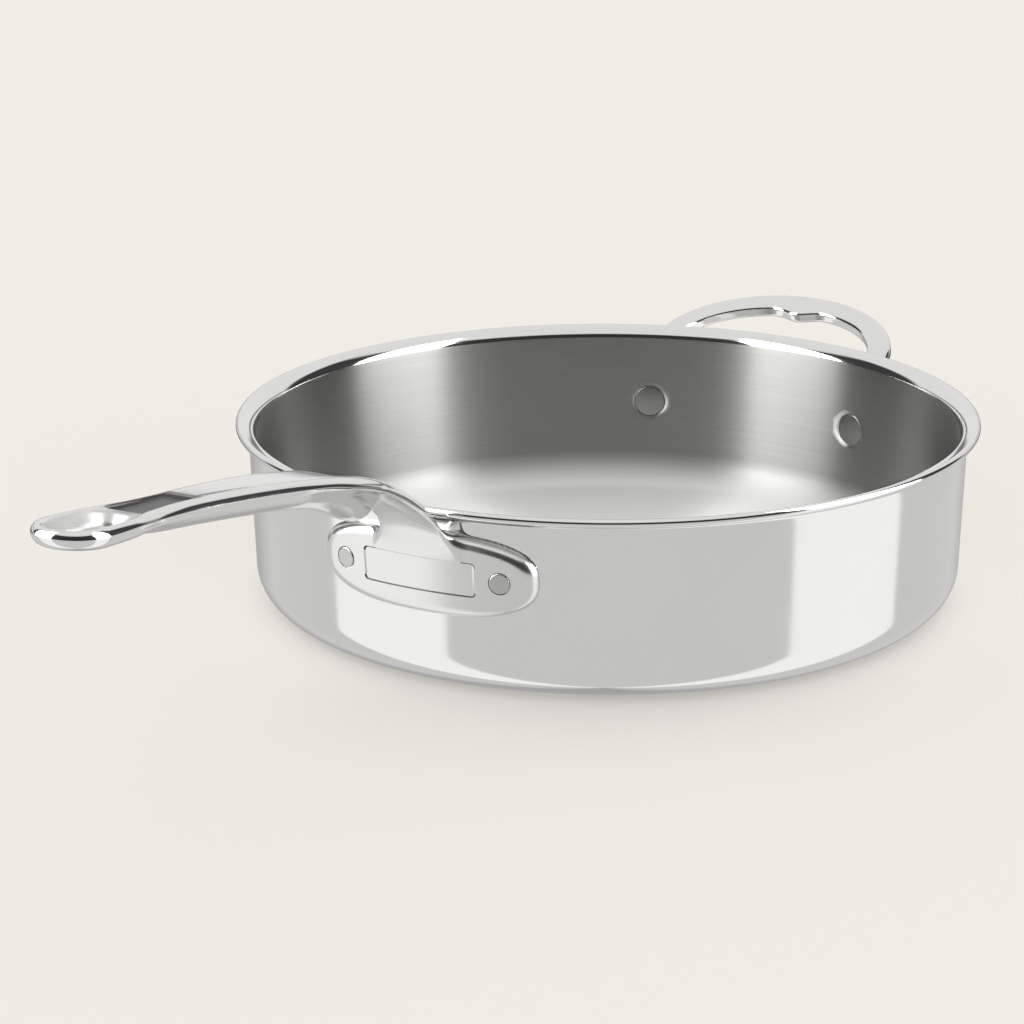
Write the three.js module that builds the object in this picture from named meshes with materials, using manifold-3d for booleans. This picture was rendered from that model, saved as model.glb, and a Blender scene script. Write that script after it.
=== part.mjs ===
import * as THREE from 'three';
import { mergeVertices } from 'three/addons/utils/BufferGeometryUtils.js';
import Module from 'manifold-3d';

// Clad saute pan with a riveted long handle and a helper handle.
// Millimetres, +Z up. The origin is the centre of the base, and +X runs along the long handle.

// Shell
const rimRadius = 140;
const panHeight = 69;
const skinThickness = 0.5;
const coreThickness = 1.8;
const linerThickness = 0.5;
const bondGap = 0.1;
const baseCornerRadius = 14;
const wallLean = 2;
const flareRadius = 4.6;
const flareAngle = 78;
const sealGap = 0.3;

// Rivets
const rivetHeadRadius = 6.3;
const rivetHeadThickness = 0.9;
const rivetShankRadius = 3.2;
const rivetTailRadius = 4;
const rivetTailThickness = 1.5;
const rivetClearance = 0.3;

// Riveting plate of the long handle
const seatGap = 0.3;
const plateWidth = 85;
const plateHeight = 30;
const plateCentreHeight = 44.6;
const plateThickness = 4;
const plateEndFullness = 12;
const plateFlatHalf = 29.5;
const plateRivetSpacing = 60;
const panelWidth = 45;
const panelHeight = 12.5;
const panelCornerRadius = 1.5;
const panelDepth = 0.8;

// Neck and arm of the long handle
const bendReach = 31;
const bendRise = 18.2;
const bendSlope = 25;
const bendPull = 15.5;
const tipReach = 200;
const tipRise = 46.6;
const tipPull = 113;
const armEndSlope = 5;
const neckPull = 15;
const gripDistance = 62;
const waistDistance = 45.5;
const neckFootWidth = 25.5;
const bendWidth = 21;
const gripWidth = 23.5;
const waistWidth = 19;
const neckThickness = 8;
const noseThickness = 14;
const noseLength = 25;
const gripThickness = 10;
const shoulderWidth = 4;
const shoulderDepth = 3;
const scoopLength = 30;
const scoopWidth = 15;
const scoopDepth = 4.5;
const scoopPlace = 0.62;
const neckFullAt = 0.5;
const noseStartAt = 0.75;
const tipBluntness = 0.1;

// Hanging eye
const eyeOuterWidth = 26;
const eyeRingWidth = 5.5;
const eyeThickness = 7.5;
const eyeLength = 31;
const eyePointRadius = 5.5;

// Helper handle
const helperReach = 42.4;
const helperSpan = 94.4;
const helperRise = 7;
const helperTilt = 17.8;
const helperLegReach = 2.3;
const helperBarWidth = 9.5;
const helperApexWidth = 11;
const helperBarThickness = 5;
const apexSharpness = 4;
const helperRivetHeight = 37.6;
const helperRivetSpacing = 93.5;
const padWidth = 24;
const padHeight = 30;
const padThickness = 3.5;
const thumbBumpReach = 5;
const thumbBumpWidth = 15;

// Facets
const shellSegments = 60;
const arcSteps = 4;
const roundSides = 16;
const ballRings = 10;
const outlineSteps = 8;
const eyeSteps = 12;
const bellySteps = 6;
const neckSteps = 10;
const armSteps = 22;
const loopSteps = 12;
const helperSteps = 44;
const barEdgeTurns = [60, 20, -20, -60];

const wasm = await Module();
wasm.setup();

const radians = THREE.MathUtils.degToRad;

// A closed geometry as a solid, with its shared vertices merged.
function solid(geometry) {
  geometry.deleteAttribute('normal');
  geometry.deleteAttribute('uv');
  const merged = mergeVertices(geometry);
  const corners = merged.index.array;
  const triangles = [];
  for (let i = 0; i < corners.length; i += 3) {
    const [a, b, c] = [corners[i], corners[i + 1], corners[i + 2]];
    if (a !== b && b !== c && c !== a) triangles.push(a, b, c);
  }
  const vertProperties = new Float32Array(merged.attributes.position.array);
  const triVerts = new Uint32Array(triangles);
  return new wasm.Manifold(new wasm.Mesh({ numProp: 3, vertProperties, triVerts }));
}

// A profile in radius and height, turned about the Z axis.
function turned(points, segments) {
  const geometry = new THREE.LatheGeometry(points, segments);
  geometry.rotateX(Math.PI / 2);
  return solid(geometry);
}

// A flat outline in Y and Z, extruded from the Z axis along +X and then turned about Z.
function prismAlongX(shape, length, turn = 0) {
  const geometry = new THREE.ExtrudeGeometry(shape, {
    depth: length, bevelEnabled: false, curveSegments: outlineSteps,
  });
  geometry.applyMatrix4(new THREE.Matrix4().makeBasis(
    new THREE.Vector3(0, 1, 0), new THREE.Vector3(0, 0, 1), new THREE.Vector3(1, 0, 0),
  ));
  geometry.rotateZ(turn);
  return solid(geometry);
}

// A body through a row of outlines, all with the same number of points.
function loft(outlines) {
  const sides = outlines[0].length;
  const steps = outlines.length - 1;
  const geometry = new THREE.CylinderGeometry(1, 1, 1, sides, steps);
  const position = geometry.attributes.position;
  for (let i = 0; i < position.count; i += 1) {
    const x = position.getX(i);
    const z = position.getZ(i);
    const outline = outlines[Math.round((0.5 - position.getY(i)) * steps)];
    const point = new THREE.Vector3();
    if (Math.hypot(x, z) < 0.5) {
      outline.forEach((corner) => point.addScaledVector(corner, 1 / sides));
    } else {
      const turn = Math.atan2(x, z) / (2 * Math.PI) * sides;
      point.copy(outline[(Math.round(turn) + sides) % sides]);
    }
    position.setXYZ(i, point.x, point.y, point.z);
  }
  return solid(geometry);
}

// A smooth value along x through a few known stations.
function profileThrough(stations) {
  return (x) => {
    const last = stations.length - 1;
    if (x <= stations[0][0]) return stations[0][1];
    if (x >= stations[last][0]) return stations[last][1];
    const next = stations.findIndex((station) => station[0] > x);
    const [x0, v0] = stations[next - 1];
    const [x1, v1] = stations[next];
    return v0 + (v1 - v0) * THREE.MathUtils.smoothstep(x, x0, x1);
  };
}

// Wall: the outer surface, with offset counted inwards from it
const shellThickness = skinThickness + coreThickness + linerThickness + 2 * bondGap;
const edgeRadius = shellThickness / 2;
const lean = radians(wallLean);
const lipAngle = radians(flareAngle);
const lipArc = flareRadius + edgeRadius;
const wallTop = rimRadius - edgeRadius + lipArc * Math.cos(lipAngle) - flareRadius * Math.cos(lean);
const flareStart = panHeight - edgeRadius - lipArc * Math.sin(lipAngle) + flareRadius * Math.sin(lean);
const flareCentre = new THREE.Vector2(
  wallTop + flareRadius * Math.cos(lean), flareStart - flareRadius * Math.sin(lean),
);
const cornerCentre = new THREE.Vector2(
  wallTop + ((baseCornerRadius - flareStart) * Math.sin(lean) - baseCornerRadius) / Math.cos(lean),
  baseCornerRadius,
);

function wallRadius(offset, height) {
  return wallTop - (flareStart - height) * Math.tan(lean) - offset / Math.cos(lean);
}

function arc(centre, radius, from, to) {
  return Array.from({ length: arcSteps + 1 }, (_, i) => {
    const angle = from + (to - from) * i / arcSteps;
    return new THREE.Vector2(
      centre.x + radius * Math.cos(angle), centre.y + radius * Math.sin(angle),
    );
  });
}

// From the axis across the base, up the wall and along the flare to the given lip angle.
function shellSurface(offset, endAngle) {
  return [
    new THREE.Vector2(0, offset),
    ...arc(cornerCentre, baseCornerRadius - offset, -Math.PI / 2, -lean),
    ...arc(flareCentre, flareRadius + offset, Math.PI - lean, Math.PI - endAngle),
  ];
}

function lipEdge(radius) {
  const centre = new THREE.Vector2(
    flareCentre.x - lipArc * Math.cos(lipAngle), flareCentre.y + lipArc * Math.sin(lipAngle),
  );
  return arc(centre, radius, -lipAngle, Math.PI - lipAngle);
}

function layer(outerOffset, innerOffset, endAngle) {
  return turned([
    ...shellSurface(outerOffset, endAngle),
    ...shellSurface(innerOffset, endAngle).reverse(),
  ], shellSegments);
}

// The pan as one solid body, grown by a gap, that the handles stay clear of.
const panBody = turned([
  new THREE.Vector2(0, -seatGap),
  ...shellSurface(-seatGap, lipAngle).slice(1),
  ...lipEdge(edgeRadius + seatGap).slice(1),
  new THREE.Vector2(0, panHeight + seatGap),
], shellSegments);

// A plate that lies on the wall, between two heights.
function wallPlate(inside, outside, low, high) {
  const corners = [[inside, low], [outside, low], [outside, high], [inside, high], [inside, low]];
  return turned(corners.map(([distance, height]) => (
    new THREE.Vector2(wallRadius(-distance, height), height)
  )), shellSegments);
}

// Rivets: a flush inner head, a shank and an outer end that is flush with the plate
function rivet(angle, height, plateOuter, clearance) {
  const headFace = wallRadius(shellThickness, height) - bondGap;
  const headBack = headFace + rivetHeadThickness;
  const tailFace = wallRadius(-plateOuter, height);
  const tailBack = tailFace - rivetTailThickness;
  const outline = [
    [0, headFace - clearance],
    [rivetHeadRadius + clearance, headFace - clearance],
    [rivetHeadRadius + clearance, headBack + clearance],
    [rivetShankRadius + clearance, headBack + clearance],
    [rivetShankRadius + clearance, tailBack - clearance],
    [rivetTailRadius + clearance, tailBack - clearance],
    [rivetTailRadius + clearance, tailFace + clearance],
    [0, tailFace + clearance],
  ];
  const points = outline.map(([radius, along]) => new THREE.Vector2(radius, along));
  const geometry = new THREE.LatheGeometry(points, roundSides);
  geometry.rotateZ(-Math.PI / 2);
  geometry.rotateZ(angle);
  geometry.translate(0, 0, height);
  return solid(geometry);
}

const plateOuter = seatGap + plateThickness;
const padOuter = seatGap + padThickness;
const plateRivetAngle = Math.asin(plateRivetSpacing / 2 / wallRadius(0, plateCentreHeight));
const helperRivetAngle = Math.asin(helperRivetSpacing / 2 / wallRadius(0, helperRivetHeight));
const rivetPlaces = {
  long_handle_rivet_left: [-plateRivetAngle, plateCentreHeight, plateOuter],
  long_handle_rivet_right: [plateRivetAngle, plateCentreHeight, plateOuter],
  helper_rivet_left: [Math.PI + helperRivetAngle, helperRivetHeight, padOuter],
  helper_rivet_right: [Math.PI - helperRivetAngle, helperRivetHeight, padOuter],
};

function cutRivetHoles(body) {
  return Object.values(rivetPlaces).reduce(
    (left, place) => left.subtract(rivet(...place, rivetClearance)), body,
  );
}

// Shell layers: the liner carries the round edge that seals the core in
const coreOffset = skinThickness + bondGap;
const linerOffset = coreOffset + coreThickness + bondGap;
const sealAngle = lipAngle - sealGap / lipArc;

function makeLiner() {
  const sheet = [
    ...shellSurface(linerOffset, lipAngle),
    ...lipEdge(edgeRadius),
    ...shellSurface(shellThickness, lipAngle).reverse().slice(1),
  ];
  return cutRivetHoles(turned(sheet, shellSegments));
}

function makeCore() {
  return cutRivetHoles(layer(coreOffset, coreOffset + coreThickness, sealAngle));
}

function makeSkin() {
  return cutRivetHoles(layer(0, skinThickness, sealAngle));
}

// Long handle
const plateFace = wallRadius(-plateOuter, plateCentreHeight);
const bendPoint = new THREE.Vector2(rimRadius + bendReach, panHeight + bendRise);
const tipPoint = new THREE.Vector2(rimRadius + tipReach, panHeight + tipRise);
const bendDirection = new THREE.Vector2(Math.cos(radians(bendSlope)), Math.sin(radians(bendSlope)));
const endDirection = new THREE.Vector2(Math.cos(radians(armEndSlope)), Math.sin(radians(armEndSlope)));

function plateOutline() {
  const halfWidth = plateWidth / 2;
  const halfHeight = plateHeight / 2;
  const flatY = plateFlatHalf;
  const fullZ = plateEndFullness;
  const shape = new THREE.Shape();
  const low = plateCentreHeight - halfHeight;
  const high = plateCentreHeight + halfHeight;
  shape.moveTo(halfWidth, plateCentreHeight);
  shape.bezierCurveTo(halfWidth, plateCentreHeight + fullZ, flatY, high, 0, high);
  shape.bezierCurveTo(-flatY, high, -halfWidth, plateCentreHeight + fullZ, -halfWidth, plateCentreHeight);
  shape.bezierCurveTo(-halfWidth, plateCentreHeight - fullZ, -flatY, low, 0, low);
  shape.bezierCurveTo(flatY, low, halfWidth, plateCentreHeight - fullZ, halfWidth, plateCentreHeight);
  return shape;
}

function roundedPanel() {
  const right = panelWidth / 2 - panelCornerRadius;
  const low = plateCentreHeight - panelHeight / 2 + panelCornerRadius;
  const high = plateCentreHeight + panelHeight / 2 - panelCornerRadius;
  const shape = new THREE.Shape();
  shape.absarc(right, high, panelCornerRadius, 0, Math.PI / 2);
  shape.absarc(-right, high, panelCornerRadius, Math.PI / 2, Math.PI);
  shape.absarc(-right, low, panelCornerRadius, Math.PI, 1.5 * Math.PI);
  shape.absarc(right, low, panelCornerRadius, 1.5 * Math.PI, 2 * Math.PI);
  return shape;
}

// The line along the middle of the top face: the neck, then the arm.
const neckFoot = new THREE.Vector2(plateFace - plateThickness / 2, plateCentreHeight + panelHeight / 2);
const neckLine = new THREE.CubicBezierCurve(
  neckFoot,
  new THREE.Vector2(neckFoot.x, neckFoot.y + neckPull),
  bendPoint.clone().addScaledVector(bendDirection, -bendPull),
  bendPoint,
);
const armLine = new THREE.CubicBezierCurve(
  bendPoint,
  bendPoint.clone().addScaledVector(bendDirection, bendPull),
  tipPoint.clone().addScaledVector(endDirection, -tipPull),
  tipPoint,
);

const eyeCentre = tipPoint.x - eyeOuterWidth / 2;
const eyeStart = tipPoint.x - eyeRingWidth - eyeLength;

const armHalfWidth = profileThrough([
  [plateFace, neckFootWidth / 2],
  [bendPoint.x, bendWidth / 2],
  [bendPoint.x + gripDistance, gripWidth / 2],
  [eyeCentre - waistDistance, waistWidth / 2],
  [eyeCentre, eyeOuterWidth / 2],
]);

const neckDepth = profileThrough([
  [0, plateThickness / 2], [neckFullAt, neckThickness], [noseStartAt, neckThickness], [1, noseThickness],
]);

const armDepth = profileThrough([
  [bendPoint.x, noseThickness],
  [bendPoint.x + noseLength, gripThickness],
  [eyeCentre - waistDistance, gripThickness],
  [eyeCentre, eyeThickness],
]);

// One section: flat top, sloping shoulders and a round belly. It narrows to a round end past the eye.
function armSection(line, along, depth) {
  const top = line.getPoint(along);
  const tangent = line.getTangent(along);
  const pastEye = Math.max(top.x - eyeCentre, 0) / (eyeOuterWidth / 2);
  const endRound = Math.max(Math.sqrt(Math.max(1 - pastEye * pastEye, 0)), tipBluntness);
  const halfWidth = armHalfWidth(top.x) * endRound;
  const thickness = depth(line === neckLine ? along : top.x) * (1 + endRound) / 2;
  const flatHalf = halfWidth - Math.min(shoulderWidth, halfWidth / 2);
  const shoulder = Math.min(shoulderDepth, thickness / 2);
  const corners = [[flatHalf, 0], [halfWidth, -shoulder]];
  for (let i = 1; i < bellySteps; i += 1) {
    const angle = Math.PI * i / bellySteps;
    corners.push([
      halfWidth * Math.cos(angle), -shoulder - (thickness - shoulder) * Math.sin(angle),
    ]);
  }
  corners.push([-halfWidth, -shoulder], [-flatHalf, 0]);
  return corners.map(([across, up]) => new THREE.Vector3(
    top.x - tangent.y * up, across, top.y + tangent.x * up,
  ));
}

function armBody() {
  const sections = [];
  for (let i = 0; i < neckSteps; i += 1) sections.push(armSection(neckLine, i / neckSteps, neckDepth));
  for (let i = 0; i <= armSteps; i += 1) {
    sections.push(armSection(armLine, Math.sin(Math.PI / 2 * i / armSteps), armDepth));
  }
  return loft(sections);
}

// The hollow under the neck, between its two rails.
function neckScoop() {
  const top = neckLine.getPoint(scoopPlace);
  const tangent = neckLine.getTangent(scoopPlace);
  const geometry = new THREE.SphereGeometry(1, roundSides, ballRings);
  geometry.scale(scoopLength / 2, scoopWidth / 2, scoopDepth);
  geometry.rotateY(-Math.atan2(tangent.y, tangent.x));
  geometry.translate(top.x + tangent.y * neckThickness, 0, top.y - tangent.x * neckThickness);
  return solid(geometry);
}

// A long oval, a little narrower towards the pan.
function eyeHole() {
  const endRadius = eyeOuterWidth / 2 - eyeRingWidth;
  const pointX = eyeStart + eyePointRadius;
  const spread = Math.acos((endRadius - eyePointRadius) / (eyeCentre - pointX));
  const shape = new THREE.Shape();
  shape.absarc(eyeCentre, 0, endRadius, spread - Math.PI, Math.PI - spread, false);
  shape.absarc(pointX, 0, eyePointRadius, Math.PI - spread, Math.PI + spread, false);
  const geometry = new THREE.ExtrudeGeometry(shape, {
    depth: tipPoint.y, bevelEnabled: false, curveSegments: eyeSteps,
  });
  geometry.translate(0, 0, bendPoint.y);
  return solid(geometry);
}

function makeLongHandle() {
  const low = plateCentreHeight - plateHeight;
  const high = plateCentreHeight + plateHeight;
  const plate = prismAlongX(plateOutline(), rimRadius + plateOuter)
    .intersect(wallPlate(seatGap, plateOuter, low, high));
  const panel = prismAlongX(roundedPanel(), rimRadius + plateOuter)
    .intersect(wallPlate(plateOuter - panelDepth, plateOuter + plateThickness, low, high));
  const arm = armBody().subtract(neckScoop()).subtract(eyeHole());
  return cutRivetHoles(plate.add(arm).subtract(panel).subtract(panBody));
}

// Helper handle: a tilted half ellipse between two legs that come down to their pads
const tilt = radians(helperTilt);
const helperLegX = rimRadius + helperLegReach;
const helperDepth = helperReach - helperLegReach - helperApexWidth / 2 * Math.cos(tilt);
const helperApex = new THREE.Vector3(
  -helperLegX - helperDepth,
  0,
  panHeight + helperRise - (helperApexWidth * Math.sin(tilt) + helperBarThickness * Math.cos(tilt)) / 2,
);
const helperFaceUp = new THREE.Vector3(Math.sin(tilt), 0, Math.cos(tilt));

function helperPath() {
  const loopRise = helperDepth * Math.tan(tilt);
  const legTop = helperApex.z - loopRise;
  const points = [];
  for (let i = 0; i <= loopSteps; i += 1) {
    const angle = Math.PI * i / loopSteps;
    points.push(new THREE.Vector3(
      -helperLegX - helperDepth * Math.sin(angle),
      helperSpan / 2 * Math.cos(angle),
      legTop + loopRise * Math.sin(angle),
    ));
  }
  const footRadius = wallRadius(-padOuter, helperRivetHeight);
  const footHeight = helperRivetHeight + rivetHeadRadius;
  const kneeRadius = (footRadius + Math.hypot(helperLegX, helperSpan / 2)) / 2;
  const kneeHeight = (footHeight + legTop + helperBarThickness) / 2;
  const legs = [[footRadius, footHeight], [kneeRadius, kneeHeight]].map(([radius, height]) => (
    new THREE.Vector3(
      -radius * Math.cos(helperRivetAngle), radius * Math.sin(helperRivetAngle), height,
    )
  ));
  const mirrored = legs.map((point) => new THREE.Vector3(point.x, -point.y, point.z)).reverse();
  return new THREE.CatmullRomCurve3([...legs, ...points, ...mirrored]);
}

// A flat bar with rounded edges, in the loop's plane and turned against the wall on the legs.
function helperSection(path, along) {
  const centre = path.getPointAt(along);
  const tangent = path.getTangentAt(along);
  const across = new THREE.Vector3().crossVectors(helperFaceUp, tangent).normalize();
  const up = new THREE.Vector3().crossVectors(tangent, across);
  const apex = Math.pow(Math.sin(Math.PI * along), apexSharpness);
  const halfWidth = (helperBarWidth + (helperApexWidth - helperBarWidth) * apex) / 2;
  const halfThickness = helperBarThickness / 2;
  const corners = [];
  for (const side of [1, -1]) {
    for (const turn of barEdgeTurns) {
      const angle = radians(turn);
      corners.push([
        side * (halfWidth - halfThickness * (1 - Math.cos(angle))),
        side * halfThickness * Math.sin(angle) / Math.sin(radians(barEdgeTurns[0])),
      ]);
    }
  }
  return corners.map(([out, height]) => (
    centre.clone().addScaledVector(across, out).addScaledVector(up, height)
  ));
}

function helperPad(side) {
  const shape = new THREE.Shape();
  shape.absellipse(0, helperRivetHeight, padWidth / 2, padHeight / 2, 0, 2 * Math.PI);
  const turn = Math.PI - side * helperRivetAngle;
  return prismAlongX(shape, rimRadius + padOuter, turn).intersect(wallPlate(
    seatGap, padOuter, helperRivetHeight - padHeight, helperRivetHeight + padHeight,
  ));
}

function makeHelperHandle() {
  const path = helperPath();
  const sections = Array.from(
    { length: helperSteps + 1 }, (_, i) => helperSection(path, i / helperSteps),
  );
  const bump = new THREE.SphereGeometry(1, roundSides, ballRings);
  bump.scale(thumbBumpReach, thumbBumpWidth / 2, helperBarThickness / 2);
  bump.translate(helperApexWidth / 2, 0, 0);
  bump.rotateY(tilt);
  bump.translate(helperApex.x, helperApex.y, helperApex.z);
  const body = loft(sections).add(solid(bump)).add(helperPad(1)).add(helperPad(-1));
  return cutRivetHoles(body.subtract(panBody));
}

// Finishes
const polishedSteel = { color: 0xd2d3d1, roughness: 0.1, metalness: 1 };
const brushedSteel = { color: 0xbfc0bd, roughness: 0.32, metalness: 1 };
const aluminium = { color: 0xc9cbcc, roughness: 0.45, metalness: 1 };
const rivetSteel = { color: 0xb4b5b2, roughness: 0.2, metalness: 1 };

function named(name, body, finish) {
  const { vertProperties, triVerts } = body.getMesh();
  const geometry = new THREE.BufferGeometry();
  geometry.setAttribute('position', new THREE.BufferAttribute(vertProperties, 3));
  geometry.setIndex(new THREE.BufferAttribute(triVerts, 1));
  geometry.computeVertexNormals();
  const mesh = new THREE.Mesh(geometry, new THREE.MeshStandardMaterial(finish));
  mesh.name = name;
  return mesh;
}

const sautePan = new THREE.Group();
sautePan.name = 'saute_pan';
sautePan.add(named('inner_liner', makeLiner(), brushedSteel));
sautePan.add(named('heat_core', makeCore(), aluminium));
sautePan.add(named('outer_skin', makeSkin(), polishedSteel));
sautePan.add(named('long_handle', makeLongHandle(), polishedSteel));
sautePan.add(named('helper_handle', makeHelperHandle(), polishedSteel));
Object.entries(rivetPlaces).forEach(([name, place]) => {
  sautePan.add(named(name, rivet(...place, 0), rivetSteel));
});

export default sautePan;
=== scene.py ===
import itertools
import math

import bmesh
import bpy
import numpy as np
from mathutils import Matrix, Vector


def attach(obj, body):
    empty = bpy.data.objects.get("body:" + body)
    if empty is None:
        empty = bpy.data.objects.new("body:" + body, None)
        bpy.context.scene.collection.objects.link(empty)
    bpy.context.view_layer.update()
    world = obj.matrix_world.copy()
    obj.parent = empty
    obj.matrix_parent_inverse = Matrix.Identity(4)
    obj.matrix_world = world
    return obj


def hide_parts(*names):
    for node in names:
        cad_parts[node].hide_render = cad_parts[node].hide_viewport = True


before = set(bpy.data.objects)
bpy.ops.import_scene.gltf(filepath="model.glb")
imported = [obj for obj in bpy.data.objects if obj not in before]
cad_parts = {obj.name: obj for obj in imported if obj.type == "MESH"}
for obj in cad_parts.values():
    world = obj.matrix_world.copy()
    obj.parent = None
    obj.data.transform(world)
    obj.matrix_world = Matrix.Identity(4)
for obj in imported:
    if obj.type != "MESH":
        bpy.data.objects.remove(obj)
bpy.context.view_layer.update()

scene = bpy.context.scene
mm = 0.001
print("frame loaded:", len(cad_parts), "nodes")

# Sizes in the dictionaries are millimetres and degrees, but the studio's lengths are metres.

# Finishes

steelTones = {
    "polished": (0.80, 0.80, 0.785),
    # wall and floor are the same liner steel: the wall's darker tone is painted shade for its dark
    # reflections, and the floor's near-white tone is painted light for the light it catches from above
    "wall": (0.40, 0.40, 0.388),
    "floor": (0.93, 0.93, 0.91),
    # recess: near-black painted shade for the casting's recess and panel sides
    "recess": (0.07, 0.07, 0.068),
    "rivet": (0.58, 0.58, 0.565),
    # rivet steel darkened as painted shade, to dim the helper rivet heads' reflections inside the pan
    "rivetHead": (0.30, 0.30, 0.29),
    "aluminium": (0.80, 0.81, 0.82),
}


def newFinish(name, metallic=1.0):
    material = bpy.data.materials.new(name)
    material.use_nodes = True
    shader = material.node_tree.nodes["Principled BSDF"]
    shader.inputs["Metallic"].default_value = metallic
    return material, material.node_tree, shader


def setSocket(tree, socket, value):
    # the value is another socket to link, or a plain one
    if isinstance(value, bpy.types.NodeSocket):
        tree.links.new(value, socket)
    else:
        socket.default_value = value


def feedNode(tree, node, **sockets):
    for label, value in sockets.items():
        setSocket(tree, node.inputs[label.replace("_", " ")], value)


def linkedNode(tree, kind, **sockets):
    node = tree.nodes.new(kind)
    feedNode(tree, node, **sockets)
    return node.outputs[0]


def mathNode(tree, operation, *values):
    node = tree.nodes.new("ShaderNodeMath")
    node.operation = operation
    for socket, value in zip(node.inputs, values):
        setSocket(tree, socket, value)
    return node.outputs[0]


def mixNode(tree, factor, *sides):
    # each side is a socket or a plain colour
    node = tree.nodes.new("ShaderNodeMix")
    node.data_type = "RGBA"
    first, second = (side if isinstance(side, bpy.types.NodeSocket) else (*side, 1) for side in sides)
    feedNode(tree, node, Factor=factor, A=first, B=second)
    return node.outputs["Result"]


def noiseNode(tree, vector, scale, detail=4.0, roughness=0.55):
    return linkedNode(
        tree, "ShaderNodeTexNoise", Vector=vector, Scale=scale, Detail=detail, Roughness=roughness)


def rangeNode(tree, value, low, high, fromLow=0.3, fromHigh=0.7):
    return linkedNode(
        tree, "ShaderNodeMapRange", Value=value, From_Min=fromLow, From_Max=fromHigh, To_Min=low, To_Max=high)


def tintNode(tree, amount, tone, darkest):
    # the tone, darkened where the amount is low
    return mixNode(tree, amount, [part * darkest for part in tone], tone)


def bumpNode(tree, height, strength, distance):
    return linkedNode(tree, "ShaderNodeBump", Height=height, Strength=strength, Distance=distance * mm)


def attributeNode(tree, name):
    node = tree.nodes.new("ShaderNodeAttribute")
    node.attribute_name = name
    return node.outputs["Fac"]


def placeNode(tree, kind):
    return tree.nodes.new("ShaderNodeTexCoord").outputs[kind]


polish = {
    "cloudScale": 28, "hairScale": (120, 900, 2400), "hairTurn": (0.2, 0.35, 0.5),
    "waveScale": 22, "waveDepth": 0.4, "darkest": 0.95,
}


def polishedSteel(name, roughLow, roughHigh, wave):
    # mirror polish: cloudy buffing, hair scratches and a very slight wave
    material, tree, shader = newFinish(name)
    place = placeNode(tree, "Object")
    cloud = noiseNode(tree, place, polish["cloudScale"])
    stretch = linkedNode(
        tree, "ShaderNodeMapping", Vector=place, Scale=polish["hairScale"], Rotation=polish["hairTurn"])
    hair = noiseNode(tree, stretch, 1, 2)
    half = mathNode(tree, "MULTIPLY", mathNode(tree, "ADD", cloud, hair), 0.5)
    slow = noiseNode(tree, place, polish["waveScale"], 1)
    feedNode(tree, shader, Roughness=rangeNode(tree, half, roughLow, roughHigh),
             Base_Color=tintNode(tree, half, steelTones["polished"], polish["darkest"]),
             Normal=bumpNode(tree, slow, wave, polish["waveDepth"]))
    return material


hollows = {"satinShade": 0.3, "satinRough": 0.3, "sunkRough": 0.2}


def dullAndShadeHollows(material):
    # the sunk recess and panel sides get painted shade, mixed toward the near-black recess tone, and are made
    # duller; the eye's dish and the plate are satin, rougher and darkened as painted shade, fully in the dish
    # and faintly on the plate
    tree = material.node_tree
    shader = tree.nodes["Principled BSDF"]
    tone, rough = (shader.inputs[label].links[0].from_socket for label in ("Base Color", "Roughness"))
    sunk, satin = attributeNode(tree, "sunk"), attributeNode(tree, "satin")
    deep = mathNode(tree, "POWER", satin, 2)
    shade = mathNode(tree, "MULTIPLY_ADD", deep, hollows["satinShade"], sunk)
    rough = mathNode(tree, "MULTIPLY_ADD", sunk, hollows["sunkRough"], rough)
    rough = mathNode(tree, "MULTIPLY_ADD", satin, hollows["satinRough"], rough)
    feedNode(tree, shader, Base_Color=mixNode(tree, shade, tone, steelTones["recess"]), Roughness=rough)
    return material


brushing = {
    "anisotropy": 1.0, "turn": 0.25, "rough": (0.33, 0.40), "floorRough": 0.2, "floorMetal": 0.15,
    "floorTop": 4, "wallBottom": 16,    # heights between which the floor's finish becomes the wall's
    "linesPerMetre": 900, "lineScale": 2.6, "wallDarkest": 0.72, "floorDarkest": 0.86,
}


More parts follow.
